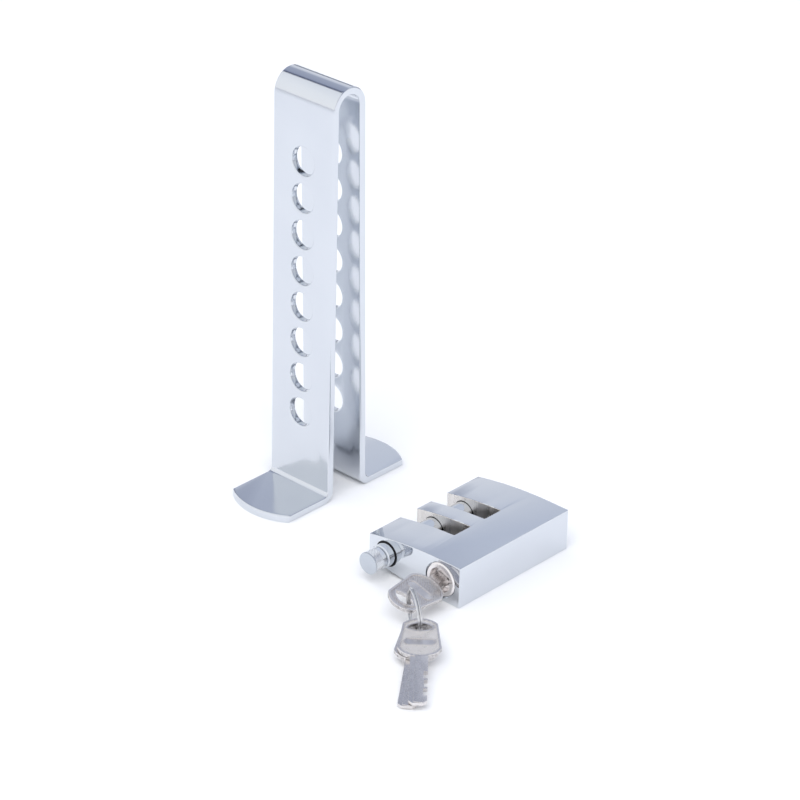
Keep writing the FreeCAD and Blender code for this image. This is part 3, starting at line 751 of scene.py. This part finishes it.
def panelOutline(k, grow=0.0):
    # a slot shape that lies across the key
    x = k["panelX"]
    straight = k["panelLong"] - k["panelHalf"]
    radius = k["panelHalf"] + grow
    top = arc((x + radius, straight), (x - radius, straight), radius, k["panelSteps"])
    bottom = arc((x - radius, -straight), (x + radius, -straight), radius, k["panelSteps"])
    return top + bottom


def inset(points, distance):
    moved = []
    for place, point in enumerate(points):
        before = Vector(points[place - 1])
        here = Vector(point)
        after = Vector(points[(place + 1) % len(points)])
        along = (here - before).normalized() + (after - here).normalized()
        inwards = Vector((-along.y, along.x)).normalized()
        moved.append(tuple(here + inwards * distance))
    return moved


def inside(x, y, points):
    within = False
    for place, (x2, y2) in enumerate(points):
        x1, y1 = points[place - 1]
        if (y1 > y) != (y2 > y) and x < (x2 - x1) * (y - y1) / (y2 - y1) + x1:
            within = not within
    return within


def plate(shell, outlines, half, soft):
    # a flat plate with softened edges from closed outlines, holes among them; sizes in mm
    curve = bpy.data.curves.new("plate", "CURVE")
    curve.dimensions = "2D"
    curve.fill_mode = "BOTH"
    curve.extrude = (half - soft) * mm
    curve.bevel_depth = soft * mm
    curve.bevel_resolution = keyShape["softSteps"]
    curve.offset = -soft * mm
    for points in outlines:
        spline = curve.splines.new("POLY")
        spline.points.add(len(points) - 1)
        for spot, (x, y) in zip(spline.points, points):
            spot.co = (x * mm, y * mm, 0, 1)
        spline.use_cyclic_u = True
    shell.from_mesh(meshOf("plate", curve))


def hatchTree(material):
    # a ridge on each point, as long as the point's own span
    tree, given = growTree("keyHatch", {
        "Geometry": "Geometry", "Wide": "Float", "High": "Float", "Slant": "Float"})

    def put(kind, inputs=None, output=0, **settings):
        return putNode(tree, kind, inputs, output, **settings)

    ridge = put("GeometryNodeMeshCylinder", {"Vertices": 4, "Radius": 0.5, "Depth": 1.0})
    laid = put("GeometryNodeTransform", {"Geometry": ridge, "Rotation": (0, math.pi / 2, 0)})
    span = put("GeometryNodeInputNamedAttribute", {"Name": "span"}, "Attribute", data_type="FLOAT")
    size = put("ShaderNodeCombineXYZ", {"X": span, "Y": given["Wide"], "Z": given["High"]})
    turn = put("ShaderNodeCombineXYZ", {"Z": given["Slant"]})
    grown = put("GeometryNodeInstanceOnPoints", {
        "Points": given["Geometry"], "Instance": laid, "Scale": size, "Rotation": turn})
    return endTree(tree, grown, material)


def hatchSpans(k, bow, eye, panel):
    # slanting lines across the bow's field, cut where they leave it: (centre x, centre y, span) in mm
    slant = math.radians(k["hatchSlant"])
    along = Vector((math.cos(slant), math.sin(slant)))
    aside = Vector((-along.y, along.x))
    origin = Vector((k["hatchMiddle"], 0))
    reach = k["hatchReach"]
    spans = []
    for line in range(-k["hatchLines"], k["hatchLines"] + 1):
        start = None
        for step in range(int(2 * reach / k["hatchStep"]) + 1):
            where = origin + aside * line * k["hatchPitch"] + along * (step * k["hatchStep"] - reach)
            free = inside(*where, bow) and not inside(*where, eye) and not inside(*where, panel)
            if free and start is None:
                start = where
            if not free and start is not None:
                length = (where - start).length
                if length > k["hatchLeast"]:
                    centre = (where + start) / 2
                    spans.append((centre.x, centre.y, length))
                start = None
    return spans


def bladeRail(k):
    # the blade's thicker part, along the cuts and short of the edges all round
    foot = k["step"] - k["half"]
    edge = k["half"] - k["railEdge"]
    gap = k["railGap"]
    points = [(k["railStart"], foot), (k["blade"] - k["railTip"], foot),
              (k["blade"] - k["railTipEdge"], k["half"] - k["tipDrop"]), (k["blade"] - k["tip"], edge)]
    for near, far, low in cutPlaces(k):
        points += [(far + gap, edge), (far + gap, low - gap), (near - gap, low - gap), (near - gap, edge)]
    return points + [(k["railStart"], edge)]


def keyMesh(k, material):
    bow = bowOutline(k, False)
    eye = eyeOutline(k)
    rim = k["rim"]
    thick, soft = k["thick"], k["soft"]
    shell = bmesh.new()
    plate(shell, [bowOutline(k, True), eye], k["field"], soft / 2)
    plate(shell, [bow, inset(bow, rim)], thick, soft)
    plate(shell, [inset(eye, -rim * rimShares["eye"]), eye], thick, soft)
    plate(shell, [panelOutline(k, k["panelRim"]), panelOutline(k)], thick, soft)
    plate(shell, [bladeRail(k)], thick, soft / 2)
    spans = hatchSpans(
        k, inset(bow, rim * rimShares["hatchBow"]), inset(eye, -rim * rimShares["hatchEye"]),
        panelOutline(k, k["panelRim"] * rimShares["hatchPanel"]))
    seeds = bpy.data.meshes.new("hatchSeeds")
    spots = [(x * mm, y * mm, side * k["field"] * mm) for x, y, span in spans for side in (-1, 1)]
    lengths = [span * mm for x, y, span in spans for side in (-1, 1)]
    seeds.from_pydata(spots, [], [])
    seeds.attributes.new("span", "FLOAT", "POINT").data.foreach_set("value", lengths)
    shell.from_mesh(meshOf("hatchSeeds", seeds, hatchTree(material), {
        "Wide": k["hatchWide"] * mm, "High": 2 * k["hatchHigh"] * mm, "Slant": math.radians(k["hatchSlant"])}))
    bmesh.ops.remove_doubles(shell, verts=shell.verts, dist=k["weld"] * mm)
    shade(shell, k["sharpAbove"])
    return shell


keyPlaces = {  # node: piece name, body, and its turns in degrees from lying flat with the blade along +X
    "key_in_lock": ("keyInLock", "key", [("X", 16)]),
    "spare_key_a": ("spareKeyUpper", "spare_a", [("Z", 221.5), ("Y", 6.2)]),
    "spare_key_b": ("spareKeyLower", "spare_b", [("Z", 216.5), ("Y", 6.2)]),
}


def makeKeys(shape, material):
    for node, (name, body, turns) in keyPlaces.items():
        shell = keyMesh(shape, material)
        turn = Matrix.Identity(4)
        for axis, degrees in turns:
            turn = turn @ Matrix.Rotation(math.radians(degrees), 4, axis)
        bmesh.ops.transform(shell, matrix=turn, verts=shell.verts)
        corners = [[vertex.co[axis] for vertex in shell.verts] for axis in range(3)]
        centre = Vector([(min(values) + max(values)) / 2 for values in corners])
        bmesh.ops.translate(shell, vec=middle(node) - centre, verts=shell.verts)
        mesh = bpy.data.meshes.new(name)
        shell.to_mesh(mesh)
        shell.free()
        newPiece(name, mesh, material, body, "nickel_key", node)


ringLook = {
    "mean": 11.3,           # mm, as are wire, gap and weld
    "wire": 1.15,
    "gap": 0.05,
    "turns": 1.9,
    "startTurn": 75,
    "perTurn": 96,
    "roundness": 5,
    "weld": 0.001,
    "sharpAbove": 50,
}


def makeRing(look, material):
    # a close double turn of round wire, about the axis that the spare keys travel round
    hinge = joints["spare_b_round_ring"]
    axis = Vector(hinge["axis"]).normalized()
    centre = Vector(hinge["pos_m"])
    yaw = math.atan2(axis.x, -axis.y)
    stand = (Matrix.Rotation(yaw, 4, "Z") @ Matrix.Rotation(math.pi / 2, 4, "X")
             @ Matrix.Rotation(math.radians(look["startTurn"]), 4, "Z"))
    pitch = (look["wire"] + look["gap"]) * mm
    curve = bpy.data.curves.new("ring", "CURVE")
    curve.dimensions = "3D"
    curve.bevel_depth = look["wire"] * mm / 2
    curve.bevel_resolution = look["roundness"]
    curve.use_fill_caps = True
    spline = curve.splines.new("POLY")
    count = int(look["turns"] * look["perTurn"])
    spline.points.add(count)
    for step, spot in enumerate(spline.points):
        angle = 2 * math.pi * step / look["perTurn"]
        rise = pitch * (angle / (2 * math.pi) - look["turns"] / 2)
        local = Vector((look["mean"] * mm * math.cos(angle), look["mean"] * mm * math.sin(angle), rise))
        spot.co = (*(centre + stand @ local), 1)
    mesh = meshOf("ring", curve)
    shell = bmesh.new()
    shell.from_mesh(mesh)
    bmesh.ops.remove_doubles(shell, verts=shell.verts, dist=look["weld"] * mm)
    shade(shell, look["sharpAbove"])
    shell.to_mesh(mesh)
    shell.free()
    newPiece("splitRing", mesh, material, "ring", "steel_ring", "split_ring")


makeCamera(cameraLook)
makeStudio(studio)
makeFloor()
print("camera, lights and floor made")
finishes = dressNodes()
print("CAD nodes dressed")
makeSmoothPieces(smoothLook, smoothPieces, finishes)
print("smooth pieces made")
makeKnob(knurlLook, finishes["knurled_knob"])
print("knob made")
makeKeys(keyShape, finishes["key_in_lock"])
print("keys made")
makeRing(ringLook, finishes["split_ring"])
print("ring made")

bpy.context.scene.view_settings.view_transform = "Standard"
